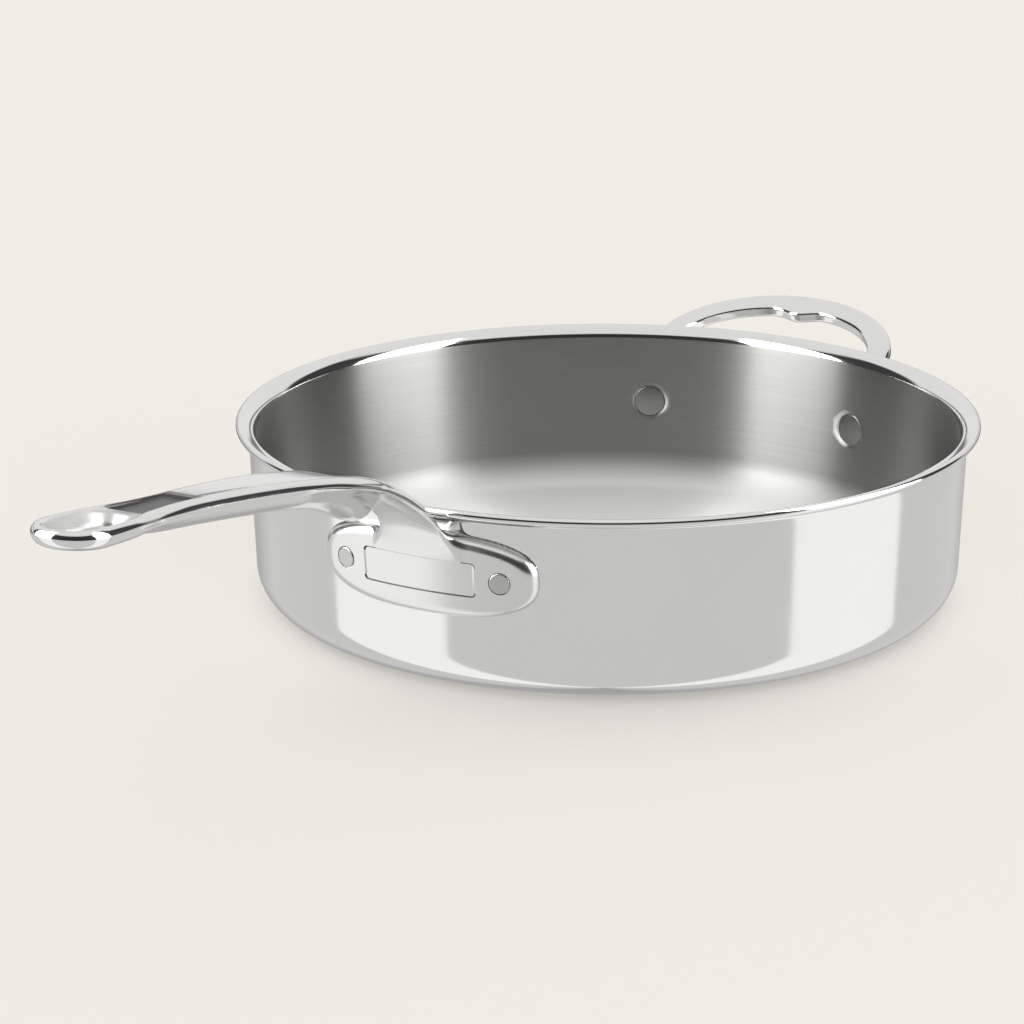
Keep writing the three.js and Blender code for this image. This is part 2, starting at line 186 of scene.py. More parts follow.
def turnedSteel(name):
    # brush lines that run round the pan: a noise that is drawn out along the turn
    material, tree, shader = newFinish(name)
    x, y, z = linkedNode(tree, "ShaderNodeSeparateXYZ", Vector=placeNode(tree, "Object")).node.outputs
    squares = [mathNode(tree, "MULTIPLY", side, side) for side in (x, y)]
    reach = mathNode(tree, "SQRT", mathNode(tree, "ADD", *squares))
    safe = mathNode(tree, "MAXIMUM", reach, 0.001)
    across = mathNode(tree, "ADD", reach, z)
    line = linkedNode(
        tree, "ShaderNodeCombineXYZ",
        X=mathNode(tree, "DIVIDE", x, safe), Y=mathNode(tree, "DIVIDE", y, safe),
        Z=mathNode(tree, "MULTIPLY", across, brushing["linesPerMetre"]))
    fine = noiseNode(tree, line, brushing["lineScale"], 3, 0.7)
    # the floor is duller than the wall; its near-white, mostly matte tone is painted light, and the wall's
    # darker steel tone is painted shade
    risen = rangeNode(tree, z, 0, 1, brushing["floorTop"] * mm, brushing["wallBottom"] * mm)
    dull = mathNode(tree, "MULTIPLY_ADD", risen, -brushing["floorRough"], brushing["floorRough"])
    rough = mathNode(tree, "ADD", rangeNode(tree, fine, *brushing["rough"]), dull)
    metal = mathNode(tree, "MULTIPLY_ADD", risen, 1 - brushing["floorMetal"], brushing["floorMetal"])
    floor = tintNode(tree, fine, steelTones["floor"], brushing["floorDarkest"])
    wall = tintNode(tree, fine, steelTones["wall"], brushing["wallDarkest"])
    tangent = tree.nodes.new("ShaderNodeTangent")
    tangent.direction_type = "RADIAL"
    tangent.axis = "Z"
    feedNode(tree, shader, Roughness=rough, Metallic=metal, Base_Color=mixNode(tree, risen, floor, wall),
             Tangent=tangent.outputs["Tangent"], Anisotropic=brushing["anisotropy"],
             Anisotropic_Rotation=brushing["turn"])
    return material


grain = {"fineScale": 1500, "cloudScale": 160, "darkest": 0.8, "bump": 0.06, "bumpDepth": 0.1}


def satinSteel(name, tone, rough):
    # rivet ends and the core: a fine even grain
    material, tree, shader = newFinish(name)
    place = placeNode(tree, "Object")
    fine = noiseNode(tree, place, grain["fineScale"], 3)
    cloud = noiseNode(tree, place, grain["cloudScale"], 3)
    both = mathNode(tree, "MULTIPLY", mathNode(tree, "ADD", fine, cloud), 0.5)
    feedNode(tree, shader, Roughness=rangeNode(tree, both, *rough),
             Base_Color=tintNode(tree, both, tone, grain["darkest"]),
             Normal=bumpNode(tree, fine, grain["bump"], grain["bumpDepth"]))
    return material


skinFinish = polishedSteel("polishedSkin", 0.06, 0.13, 0.02)
# the casting's finish carries painted shade in its recess, on its panel sides and in its eye dish
castFinish = dullAndShadeHollows(polishedSteel("polishedCasting", 0.05, 0.12, 0.03))
lipFinish = polishedSteel("polishedLip", 0.05, 0.1, 0.01)
brushedFinish = turnedSteel("brushedLiner")
rivetFinish = satinSteel("rivetSteel", steelTones["rivet"], (0.08, 0.18))
# the helper's rivets: steel darkened as painted shade, dimming the heads' reflections on the far wall
shadedRivetHeadFinish = satinSteel("shadedRivetHeads", steelTones["rivetHead"], (0.2, 0.3))
coreFinish = satinSteel("coreAluminium", steelTones["aluminium"], (0.35, 0.55))
print("finishes made")

# Node trees for turned pieces

turnPath = 0.1    # radius of the circle that a profile is carried round, in metres


def newTree(name, *inputs):
    tree = bpy.data.node_groups.new(name, "GeometryNodeTree")
    tree.interface.new_socket("Profile", in_out="INPUT", socket_type="NodeSocketGeometry")
    for label, kind in inputs:
        tree.interface.new_socket(label, in_out="INPUT", socket_type=kind)
    tree.interface.new_socket("Geometry", in_out="OUTPUT", socket_type="NodeSocketGeometry")
    return tree, tree.nodes.new("NodeGroupInput").outputs, tree.nodes.new("NodeGroupOutput").inputs


def turnProfile(tree, profile, segments):
    circle = linkedNode(tree, "GeometryNodeCurvePrimitiveCircle", Resolution=segments, Radius=turnPath)
    curve = linkedNode(tree, "GeometryNodeMeshToCurve", Mesh=profile)
    body = linkedNode(tree, "GeometryNodeCurveToMesh", Curve=circle, Profile_Curve=curve)
    return linkedNode(tree, "GeometryNodeMergeByDistance", Geometry=body, Distance=1e-6)


def finishTree(tree, geometry, material, output):
    whole = linkedNode(tree, "GeometryNodeRealizeInstances", Geometry=geometry)
    smooth = linkedNode(tree, "GeometryNodeSetShadeSmooth", Geometry=whole)
    done = linkedNode(tree, "GeometryNodeSetMaterial", Geometry=smooth, Material=material)
    tree.links.new(done, output)


def turnedTree():
    tree, given, result = newTree(
        "turnedLayer", ("Segments", "NodeSocketInt"), ("Finish", "NodeSocketMaterial"))
    finishTree(tree, turnProfile(tree, given["Profile"], given["Segments"]), given["Finish"], result[0])
    return tree


def rivetPairTree():
    # one rivet lies along +X, square to the wall; two copies are swung about the pan's axis
    tree, given, result = newTree(
        "rivetPair", ("Segments", "NodeSocketInt"), ("Height", "NodeSocketFloat"),
        ("Lean", "NodeSocketFloat"),
        ("Middle", "NodeSocketFloat"), ("Half Angle", "NodeSocketFloat"), ("Finish", "NodeSocketMaterial"))
    upright = turnProfile(tree, given["Profile"], given["Segments"])
    down = mathNode(tree, "ADD", given["Lean"], math.pi / 2)
    tip = linkedNode(tree, "ShaderNodeCombineXYZ", Y=down)
    lying = linkedNode(tree, "GeometryNodeTransform", Geometry=upright, Rotation=tip)
    side = mathNode(tree, "MULTIPLY_ADD", linkedNode(tree, "GeometryNodeInputIndex"), 2, -1)
    swing = mathNode(tree, "MULTIPLY_ADD", side, given["Half Angle"], given["Middle"])
    turn = linkedNode(tree, "ShaderNodeCombineXYZ", Z=swing)
    place = linkedNode(tree, "ShaderNodeCombineXYZ", Z=given["Height"])
    points = linkedNode(tree, "GeometryNodePoints", Count=2, Position=place)
    pair = linkedNode(tree, "GeometryNodeInstanceOnPoints", Points=points, Instance=lying, Rotation=turn)
    finishTree(tree, pair, given["Finish"], result[0])
    return tree


def newPiece(name, mesh):
    piece = bpy.data.objects.new(name, mesh)
    scene.collection.objects.link(piece)
    return piece


def plainMesh(piece):
    # the evaluated shape as a plain mesh, with its modifiers gone
    bpy.context.view_layer.update()
    shown = piece.evaluated_get(bpy.context.evaluated_depsgraph_get())
    mesh = bpy.data.meshes.new_from_object(shown)
    piece.modifiers.clear()
    piece.data = mesh
    mesh.name = piece.name
    return piece


def faceOut(piece):
    shape = bmesh.new()
    shape.from_mesh(piece.data)
    if shape.calc_volume(signed=True) < 0:
        piece.data.flip_normals()
    shape.free()
    return piece


def treePiece(name, profile, tree, **values):
    # profile: radius and height in millimetres, one open or closed line
    corners = [(radius * mm - turnPath, -height * mm, 0) for radius, height in profile]
    mesh = bpy.data.meshes.new(name)
    closed = profile[0][0] > 0
    edges = [(i, i + 1) for i in range(len(corners) - 1)]
    mesh.from_pydata(corners, edges + [(len(corners) - 1, 0)] * closed, [])
    piece = newPiece(name, mesh)
    modifier = piece.modifiers.new("turn", "NODES")
    modifier.node_group = tree
    for item in tree.interface.items_tree:
        label = item.name.replace(" ", "")
        if item.in_out == "INPUT" and label in values:
            modifier[item.identifier] = values[label]
    return faceOut(plainMesh(piece))


def cutAway(piece, *cutters):
    for cutter in cutters:
        modifier = piece.modifiers.new("cut", "BOOLEAN")
        modifier.operation = "DIFFERENCE"
        modifier.solver = "EXACT"
        modifier.object = cutter
    return plainMesh(piece)


def sharpen(piece, degrees=35):
    piece.data.set_sharp_from_angle(angle=math.radians(degrees))
    return piece


turned = turnedTree()
rivetPair = rivetPairTree()

# Shell

shell = {
    "rimRadius": 140, "height": 69, "skin": 0.5, "core": 1.8, "liner": 0.5, "bondGap": 0.1,
    "wallFoot": 133.016, "cornerRadius": 14, "wallLean": 2,
    "flareRadius": 1.8, "flareAngle": 74, "sealGap": 0.3, "polishedAbove": 64.5,
    "segments": 288, "floorRings": 16, "cornerSteps": 18, "wallRows": 22, "flareSteps": 14, "edgeSteps": 14,
}

lean = math.radians(shell["wallLean"])
lipAngle = math.radians(shell["flareAngle"])
wallThickness = shell["skin"] + shell["core"] + shell["liner"] + 2 * shell["bondGap"]
edgeRadius = wallThickness / 2


def wallRadius(offset, height):
    # offset is counted inwards from the outer surface
    return shell["wallFoot"] + height * math.tan(lean) - offset / math.cos(lean)


# the middle of the wall bends into the flare and runs straight on to the lip's edge
lipArc = shell["flareRadius"] + edgeRadius
edgeCentre = (shell["rimRadius"] - edgeRadius, shell["height"] - edgeRadius)
bendAcross = lipArc * (math.cos(lean) - math.cos(lipAngle))
bendUp = lipArc * (math.sin(lipAngle) - math.sin(lean))
lipLength = ((edgeCentre[0] - wallRadius(edgeRadius, edgeCentre[1] - bendUp) - bendAcross)
             / (math.sin(lipAngle) - math.tan(lean) * math.cos(lipAngle)))
flareCentre = (edgeCentre[0] - lipLength * math.sin(lipAngle) + lipArc * math.cos(lipAngle),
               edgeCentre[1] - lipLength * math.cos(lipAngle) - lipArc * math.sin(lipAngle))
cornerCentre = (
    wallRadius(0, shell["cornerRadius"]) - shell["cornerRadius"] / math.cos(lean), shell["cornerRadius"])


def arcPoints(centre, radius, start, end, steps):
    return [(centre[0] + radius * math.cos(angle), centre[1] + radius * math.sin(angle))
            for angle in np.linspace(start, end, steps + 1)]


def linePoints(start, end, steps):
    # the points between two ends, without the ends
    return [(start[0] + (end[0] - start[0]) * share, start[1] + (end[1] - start[1]) * share)
            for share in np.linspace(0, 1, steps + 1)[1:-1]]


def shellSurface(offset, lipShort):
    # from the axis over the base, up the wall and along the flare
    corner = arcPoints(
        cornerCentre, shell["cornerRadius"] - offset, -math.pi / 2, -lean, shell["cornerSteps"])
    flare = arcPoints(
        flareCentre, shell["flareRadius"] + offset, math.pi - lean, math.pi - lipAngle, shell["flareSteps"])
    run = lipLength - lipShort
    lip = [(flare[-1][0] + run * math.sin(lipAngle), flare[-1][1] + run * math.cos(lipAngle))]
    middle = (0, offset)
    return ([middle] + linePoints(middle, corner[0], shell["floorRings"]) + corner
            + linePoints(corner[-1], flare[0], shell["wallRows"]) + flare + lip)


def lipEdge():
    return arcPoints(edgeCentre, edgeRadius, -lipAngle, math.pi - lipAngle, shell["edgeSteps"])


coreOffset = shell["skin"] + shell["bondGap"]
linerOffset = coreOffset + shell["core"] + shell["bondGap"]


def layerPiece(name, outer, inner, finish):
    profile = shellSurface(outer, shell["sealGap"]) + shellSurface(inner, shell["sealGap"])[::-1]
    return treePiece(name, profile, turned, Segments=shell["segments"], Finish=finish)


def linerPiece():
    profile = shellSurface(linerOffset, 0) + lipEdge()[:-1] + shellSurface(wallThickness, 0)[::-1]
    return treePiece("panLiner", profile, turned, Segments=shell["segments"], Finish=brushedFinish)


panSkin = layerPiece("panSkin", 0, shell["skin"], skinFinish)
heatCore = layerPiece("heatCore", coreOffset, coreOffset + shell["core"], coreFinish)
panLiner = linerPiece()
print("shell turned")

# Rivets

rivet = {
    "headRadius": 6.3, "headThickness": 0.9, "headSink": 0.25, "shankRadius": 3.2,
    "tailRadius": 3.75, "tailThickness": 1.5, "tailProud": 0.25, "edgeRound": 0.4, "clearance": 0.3,
    "dimpleRadius": 7.7, "dimpleDepth": 0.45, "segments": 64,
}
seatGap = 0.3
plate = {
    "width": 85.2, "height": 30.3, "centreHeight": 44.6, "thickness": 4, "fullness": 2.8, "edgeRound": 5,
    "rivetSpacing": 60, "panelWidth": 45, "panelHeight": 12.5, "panelCorner": 1.6,
    "panelDepth": 0.45, "panelSlope": 0.45, "panelColumns": 60, "panelShade": 1.0, "satin": 0.45,
    "seatDraw": 0.25, "seatBlend": 0.6,
}
pad = {
    "width": 24, "height": 30, "thickness": 3.5, "edgeRound": 3, "seatBlend": 0.4,
    "rivetHeight": 37.6, "rivetSpacing": 93.5,
}

plateOuter = seatGap + plate["thickness"]
padOuter = seatGap + pad["thickness"]
plateAngle = math.asin(plate["rivetSpacing"] / 2 / wallRadius(0, plate["centreHeight"]))
padAngle = math.asin(pad["rivetSpacing"] / 2 / wallRadius(0, pad["rivetHeight"]))


def rivetProfile(height, outer):
    # along the rivet from the head inside the pan to the flush outer end
    head = wallRadius(wallThickness, height) + rivet["headSink"]
    headBack = head + rivet["headThickness"]
    tail = wallRadius(-outer, height) + rivet["tailProud"]
    soft = rivet["edgeRound"]
    return [
        (0, head),
        *arcPoints((rivet["headRadius"] - soft, head + soft), soft, -math.pi / 2, 0, 6),
        (rivet["headRadius"], headBack), (rivet["shankRadius"], headBack),
        (rivet["shankRadius"], tail - rivet["tailThickness"]),
        (rivet["tailRadius"], tail - rivet["tailThickness"]),
        *arcPoints((rivet["tailRadius"] - soft, tail - soft), soft, 0, math.pi / 2, 6),
        (0, tail),
    ]


def holeProfile(height, outer):
    # what the rivet and its dimple take out of the wall and the plate
    inside = wallRadius(wallThickness, height)
    head = rivet["headRadius"] + rivet["clearance"]
    shank = rivet["shankRadius"] + rivet["clearance"]
    tail = rivet["tailRadius"] + rivet["clearance"]
    headBack = inside + rivet["headSink"] + rivet["headThickness"] + rivet["clearance"]
    tailFace = wallRadius(-outer, height)
    tailBack = tailFace - rivet["tailThickness"] - rivet["clearance"]
    spread = rivet["dimpleRadius"] - head
    return [
        (0, inside - rivet["dimpleDepth"]), (head + 2 * spread, inside - rivet["dimpleDepth"]),
        (head, inside + rivet["dimpleDepth"]), (head, headBack), (shank, headBack), (shank, tailBack),
        (tail, tailBack), (tail, tailFace + rivet["tailThickness"]), (0, tailFace + rivet["tailThickness"]),
    ]


def pairOf(name, shape, finish, height, middle, halfAngle):
    square = [(radius, reach / math.cos(lean)) for radius, reach in shape]
    axisHeight = height + wallRadius(0, height) * math.tan(lean)
    return treePiece(name, square, rivetPair, Segments=rivet["segments"], Height=axisHeight * mm,
                     Lean=lean, Middle=middle, HalfAngle=halfAngle, Finish=finish)


plateSpot = (plate["centreHeight"], 0.0, plateAngle)
padSpot = (pad["rivetHeight"], math.pi, padAngle)
longHandleRivets = pairOf(
    "longHandleRivets", rivetProfile(plate["centreHeight"], plateOuter), rivetFinish, *plateSpot)
helperRivets = pairOf(
    "helperRivets", rivetProfile(pad["rivetHeight"], padOuter), shadedRivetHeadFinish, *padSpot)
plateHoles = pairOf(
    "plateHoles", holeProfile(plate["centreHeight"], plateOuter), lipFinish, *plateSpot)
padHoles = pairOf(
    "padHoles", holeProfile(pad["rivetHeight"], padOuter), lipFinish, *padSpot)
for layer in (panSkin, heatCore, panLiner):
    sharpen(cutAway(layer, plateHoles, padHoles))
print("rivets set")


def polishLip(piece):
    # the flare and the lip are polished, the rest of the liner stays brushed
    mesh = piece.data
    mesh.materials.clear()
    for finish in (brushedFinish, lipFinish):
        mesh.materials.append(finish)
    for face in mesh.polygons:
        face.material_index = 1 if face.center.z > shell["polishedAbove"] * mm else 0


polishLip(panLiner)

# Castings: each is a field in millimetres, below zero inside, whose skin becomes the mesh

cast = {
    "cell": 0.55, "block": 6, "bandFactor": 1.5, "relaxRounds": 6, "relaxShare": 0.6, "probe": 0.01,
    "skinReach": 0.02, "skinTurn": 0.75, "farOff": 50,
}


def smoothMin(a, b, blend):
    near = np.maximum(blend - np.abs(a - b), 0) / blend
    return np.minimum(a, b) - near * near * blend / 4


def smoothMax(a, b, blend):
    return -smoothMin(-a, -b, blend)


def ellipsoid(*pairs):
    # each pair is a distance from the centre and the half axis in that direction
    scaled = np.sqrt(sum((distance / half) ** 2 for distance, half in pairs))
    slope = np.sqrt(sum((distance / half ** 2) ** 2 for distance, half in pairs))
    return scaled * (scaled - 1) / np.maximum(slope, 1e-6)


def fieldOnSkin(field, points):
    # value and slope of the field at each point
    value = field(points)
    slope = np.stack([
        (field(points + cast["probe"] * step) - value) / cast["probe"] for step in np.eye(3)], 1)
    return value, slope


def settle(field, points):
    value, slope = fieldOnSkin(field, points)
    steep = np.maximum((slope ** 2).sum(1), 0.1)
    move = (value / steep)[:, None] * slope
    length = np.linalg.norm(move, axis=1, keepdims=True)
    return points - move * np.minimum(1, cast["cell"] / np.maximum(length, 1e-9)), slope


def skinCells(field, low, high):
    # coarse blocks find where the skin runs, and only those are sampled finely
    cell, block = cast["cell"], cast["block"]
    blocks = np.ceil((np.array(high) - low) / (cell * block)).astype(int)
    starts = np.stack(np.meshgrid(*[np.arange(n) for n in blocks], indexing="ij"), -1).reshape(-1, 3)
    centres = low + (starts + 0.5) * block * cell
    middle = field(centres)
    value = np.ones(blocks * block + 1)
    value[:-1, :-1, :-1] = np.kron(middle.reshape(blocks), np.ones((block,) * 3))
    band = cast["bandFactor"] * block * cell * math.sqrt(3) / 2
    offsets = np.array(list(itertools.product(range(block + 1), repeat=3)))
    spots = (starts[np.abs(middle) < band][:, None] * block + offsets).reshape(-1, 3)
    value[tuple(spots.T)] = field(low + spots * cell)
    return value < 0


def castSkin(field, low, high):
    low = np.array(low, float)
    inside = skinCells(field, low, high)
    size = np.array(inside.shape) - 1
    filled = sum(inside[a:a + size[0], b:b + size[1], c:c + size[2]].astype(np.int8)
                 for a, b, c in itertools.product((0, 1), repeat=3))
    cells = np.argwhere((filled > 0) & (filled < 8))
    number = np.full(size, -1)
    number[tuple(cells.T)] = np.arange(len(cells))
    quads = []
    for axis in range(3):
        # one face across every grid edge that passes through the skin
        ahead = np.roll(inside, -1, axis)
        edges = np.argwhere(inside != ahead)
        second, third = (axis + 1) % 3, (axis + 2) % 3
        ring = []
        for stepB, stepC in ((-1, -1), (0, -1), (0, 0), (-1, 0)):
            neighbour = edges.copy()
            neighbour[:, second] += stepB
            neighbour[:, third] += stepC
            ring.append(number[tuple(neighbour.T)])
        faces = np.stack(ring, 1)
        inward = ahead[tuple(edges.T)]
        faces[inward] = faces[inward][:, ::-1]
        quads.append(faces)
    quads = np.concatenate(quads)
    points = low + (cells + 0.5) * cast["cell"]
    links = np.concatenate([quads[:, [i, (i + 1) % 4]] for i in range(4)])
    degree = np.bincount(links[:, 0], minlength=len(points))[:, None]
    points, slope = settle(field, points)
    for _ in range(cast["relaxRounds"]):
        # even out the cells along the skin, then drop back onto it
        total = np.stack([
            np.bincount(links[:, 0], weights=points[links[:, 1], k], minlength=len(points))
            for k in range(3)], 1)
        normal = slope / np.maximum(np.linalg.norm(slope, axis=1, keepdims=True), 1e-9)
        drift = total / degree - points
        drift -= (drift * normal).sum(1, keepdims=True) * normal
        points, slope = settle(field, points + cast["relaxShare"] * drift)
    return settle(field, points)[0], quads


def castPiece(name, field, low, high, finish):
    points, quads = castSkin(field, low, high)
    mesh = bpy.data.meshes.new(name)
    mesh.from_pydata((points * mm).tolist(), [], quads.tolist())
    mesh.polygons.foreach_set("use_smooth", [True] * len(mesh.polygons))
    mesh.materials.append(finish)
    mesh.update()
    print(name, "cast with", len(quads), "faces")
    return newPiece(name, mesh)


def meshValues(items, name, width, kind=np.float32):
    values = np.empty(len(items) * width, kind)
    items.foreach_get(name, values)
    return values.reshape(-1, width) if width > 1 else values


def shadeByField(piece, field):
    # the skin takes its normals from the field's slope, and cut faces keep their own
    mesh = sharpen(piece).data
    value, slope = fieldOnSkin(field, meshValues(mesh.vertices, "co", 3) / mm)
    slope /= np.linalg.norm(slope, axis=1, keepdims=True)
    spots = meshValues(mesh.loops, "vertex_index", 1, np.int32)
    sides = meshValues(mesh.polygons, "loop_total", 1, np.int32)
    flat = np.repeat(meshValues(mesh.polygon_normals, "vector", 3), sides, axis=0)
    normals = meshValues(mesh.corner_normals, "vector", 3)
    facing = (flat * slope[spots]).sum(1) > cast["skinTurn"]
    onSkin = (np.abs(value[spots]) < cast["skinReach"]) & facing
    normals[onSkin] = slope[spots][onSkin]
    mesh.normals_split_custom_set(normals.tolist())
    return piece


def bezierPoints(a, b, c, d, count):
    t = np.linspace(0, 1, count)[:, None]
    a, b, c, d = (np.array(corner, float) for corner in (a, b, c, d))
    return (1 - t) ** 3 * a + 3 * (1 - t) ** 2 * t * b + 3 * (1 - t) * t ** 2 * c + t ** 3 * d


def evenPoints(points, spacing):
    # the same line with points at even steps, and one more beyond each end
    lengths = np.concatenate([[0], np.cumsum(np.linalg.norm(np.diff(points, axis=0), axis=1))])
    steps = np.linspace(0, lengths[-1], round(lengths[-1] / spacing) + 1)
    even = np.stack([np.interp(steps, lengths, column) for column in points.T], 1)
    return np.concatenate([[2 * even[0] - even[1]], even, [2 * even[-1] - even[-2]]]), steps[1]


def splinePoint(control, t):
    # point, first and second slope on a cubic spline through even control points
    start = np.clip(t.astype(int), 0, len(control) - 4)
    f = (t - start)[:, None]
    a, b, c, d = (control[start + k] for k in range(4))
    point = ((1 - f) ** 3 * a + (3 * f ** 3 - 6 * f ** 2 + 4) * b
             + (-3 * f ** 3 + 3 * f ** 2 + 3 * f + 1) * c + f ** 3 * d) / 6
    first = (-(1 - f) ** 2 * a + (3 * f ** 2 - 4 * f) * b + (-3 * f ** 2 + 2 * f + 1) * c + f ** 2 * d) / 2
    second = (1 - f) * a + (3 * f - 2) * b + (1 - 3 * f) * c + f * d
    return point, first, second


def nearestOnSpline(control, points):
    last = len(control) - 3
    tries = np.linspace(0, last, 6 * last + 1)
    samples = splinePoint(control, tries)[0]
    spread = (samples ** 2).sum(1)
    chunk = 40000
    t = np.concatenate([
        tries[np.argmin(spread - 2 * points[i:i + chunk] @ samples.T, axis=1)]
        for i in range(0, len(points), chunk)])
    for _ in range(3):
        foot, first, second = splinePoint(control, t)
        away = points - foot
        bend = (first ** 2).sum(1) - (away * second).sum(1)
        t = np.clip(t + (away * first).sum(1) / np.maximum(bend, 0.2 * (first ** 2).sum(1)), 0, last)
    foot, first, _ = splinePoint(control, t)
    return t, foot, first / np.linalg.norm(first, axis=1, keepdims=True)


def smoothProfile(stations, blur):
    # a value along the arm through a few stations, rounded over a length
    fine = 0.1
    low, high = stations[0][0] - 3 * blur, stations[-1][0] + 3 * blur
    table = np.arange(low, high, fine)
    values = np.interp(table, *zip(*stations))
    window = np.exp(-0.5 * (np.arange(-3 * blur, 3 * blur, fine) / blur) ** 2)
    padded = np.pad(values, len(window) // 2, mode="edge")
    soft = np.convolve(padded, window / window.sum(), mode="same")[len(window) // 2:][:len(table)]
    return lambda along: np.interp(along, table, soft)


def wallGap(points):
    # how far a point stands off the handles' seat on the wall
    reach = np.hypot(points[:, 0], points[:, 1])
    return (reach - wallRadius(0, points[:, 2])) * math.cos(lean) - seatGap


# Long handle

arm = {
    "footHeight": 50.85, "footDepth": 2, "neckPull": 15,
    "bendReach": 31, "bendRise": 18.2, "bendSlope": 25, "bendPull": 15.5,
    "tipReach": 200, "tipRise": 46.6, "tipSlope": 5, "tipPull": 113,
    "spacing": 8, "arris": 0.9, "railBlend": 1.4, "neckBlend": 2.4, "plateBlend": 7,
    "noseStart": 176, "noseLength": 11, "recessMargin": 0.5, "recessRound": 0.8,
}
eye = {
    "outerWidth": 26, "rim": 2.8, "ringRound": 3.3,
    "dishLength": 35.4, "dishFullness": 2.6, "dishWidth": 5.4, "dishDepth": 4.7, "dishJoin": 1.4,
}

plateFace = wallRadius(-plateOuter, plate["centreHeight"])
tipX = shell["rimRadius"] + arm["tipReach"]
eyeX = tipX - eye["outerWidth"] / 2
dishEnd = tipX - eye["rim"]
dishStart = dishEnd - eye["dishLength"]


def armSpine():
    # the middle of the top face, from the plate over the bend to the tip
    foot = (plateFace - arm["footDepth"], arm["footHeight"])
    bend = (shell["rimRadius"] + arm["bendReach"], shell["height"] + arm["bendRise"])
    tip = (tipX, shell["height"] + arm["tipRise"])
    bendAngle, tipAngle = math.radians(arm["bendSlope"]), math.radians(arm["tipSlope"])
    bendX, bendZ = arm["bendPull"] * math.cos(bendAngle), arm["bendPull"] * math.sin(bendAngle)
    tipPullX, tipPullZ = arm["tipPull"] * math.cos(tipAngle), arm["tipPull"] * math.sin(tipAngle)
    neck = bezierPoints(
        foot, (foot[0], foot[1] + arm["neckPull"]), (bend[0] - bendX, bend[1] - bendZ), bend, 80)
    reach = bezierPoints(
        bend, (bend[0] + bendX, bend[1] + bendZ), (tip[0] - tipPullX, tip[1] - tipPullZ), tip, 160)
    return evenPoints(np.concatenate([neck, reach[1:]]), arm["spacing"])


spine, spineStep = armSpine()
spineTable = splinePoint(spine, np.linspace(0, len(spine) - 3, 400))[0]


def alongAt(x):
    # length along the spine where the arm is x out from the pan's middle
    return np.interp(x, spineTable[:, 0], np.linspace(0, (len(spine) - 3) * spineStep, 400))


bendAlong = alongAt(shell["rimRadius"] + arm["bendReach"])
halfWidth = smoothProfile([
    (0, 13.2), (12, 12.4), (alongAt(160), 10.6), (alongAt(171), 10.6), (alongAt(190), 11.2),
    (alongAt(219), 11.9), (alongAt(243), 11.0), (alongAt(268), 9.9), (alongAt(285), 9.3),
    (alongAt(298), 10.5), (alongAt(310), 12.0), (alongAt(320), 12.9), (alongAt(326), 13.0)], 5)
shoulderWidth = smoothProfile([
    (0, 1.2), (bendAlong - 12, 1.4), (bendAlong + 14, 3.4), (alongAt(249), 3.6), (alongAt(275), 3.8)], 5)
shoulderDepth = smoothProfile([
    (0, 0.5), (bendAlong - 10, 0.7), (bendAlong + 14, 1.3), (alongAt(275), 1.4), (alongAt(306), 1.8)], 5)
bellyDepth = smoothProfile([
    (0, 8), (alongAt(166), 15.6), (alongAt(182), 15.4), (alongAt(194), 13.0), (alongAt(208), 11.2),
    (alongAt(226), 10.9), (alongAt(257), 10.4), (alongAt(288), 9.6), (alongAt(304), 8.2),
    (alongAt(318), 7.2)], 4)
# the neck's front: its middle is hollow between two thin rails, and both start inside the plate
hollowDepth = smoothProfile([
    (0, -2.5), (8, 1.9), (16, 2.1), (30, 2.3), (40, 2.7), (bendAlong, 4.2), (bendAlong + 14, 4.0)], 3)
railDepth = smoothProfile([
    (0, -2.5), (8, 1.9), (16, 2.6), (24, 3.7), (36, 4.4), (bendAlong, 4.6), (bendAlong + 14, 4.0)], 3)
railInset = smoothProfile([(alongAt(190), 0), (alongAt(208), 1.8)], 4)
bellyInset = smoothProfile([(alongAt(168), 1.5), (alongAt(200), 0)], 5)
footShare = smoothProfile([(6, 1), (20, 0)], 3)
sideBlend = smoothProfile([
    (0, 1.0), (bendAlong - 30, 1.6), (bendAlong - 8, 4.0), (bendAlong + 8, 4.2), (bendAlong + 30, 3.2)], 5)
recessDepth = smoothProfile([
    (alongAt(276), 0), (alongAt(276.8), 1.1), (alongAt(300), 1.5), (alongAt(312), 0)], 0.4)
cutBlend = smoothProfile([(alongAt(286), 0.8), (alongAt(302), 1.2)], 2)
ringShare = smoothProfile([(alongAt(297), 0), (alongAt(311), 1)], 2)


def ovalEdge(across, above, power):
    # distance from an oval, given as pairs of a distance from its middle and the half axis there
    (first, halfFirst), (second, halfSecond) = across, above
    first, second = np.abs(first) / halfFirst, np.abs(second) / halfSecond
    swell = np.maximum((first ** power + second ** power) ** (1 / power), 1e-6)
    slope = np.hypot((first / swell) ** (power - 1) / halfFirst, (second / swell) ** (power - 1) / halfSecond)
    return (swell - 1) / np.maximum(slope, 1e-6)


def brimEdge(x, y):
    return ovalEdge((x - (dishStart + dishEnd) / 2, eye["dishLength"] / 2),
                    (y, eye["outerWidth"] / 2 - eye["rim"]), eye["dishFullness"])


def armPlace(points):
    # how far a point is along the spine, above it and past its end
    t, foot, tangent = nearestOnSpline(spine, points[:, [0, 2]])
    away = points[:, [0, 2]] - foot
    up = away[:, 1] * tangent[:, 0] - away[:, 0] * tangent[:, 1]
    past = away[:, 0] * tangent[:, 0] + away[:, 1] * tangent[:, 1]
    return t * spineStep, up, past


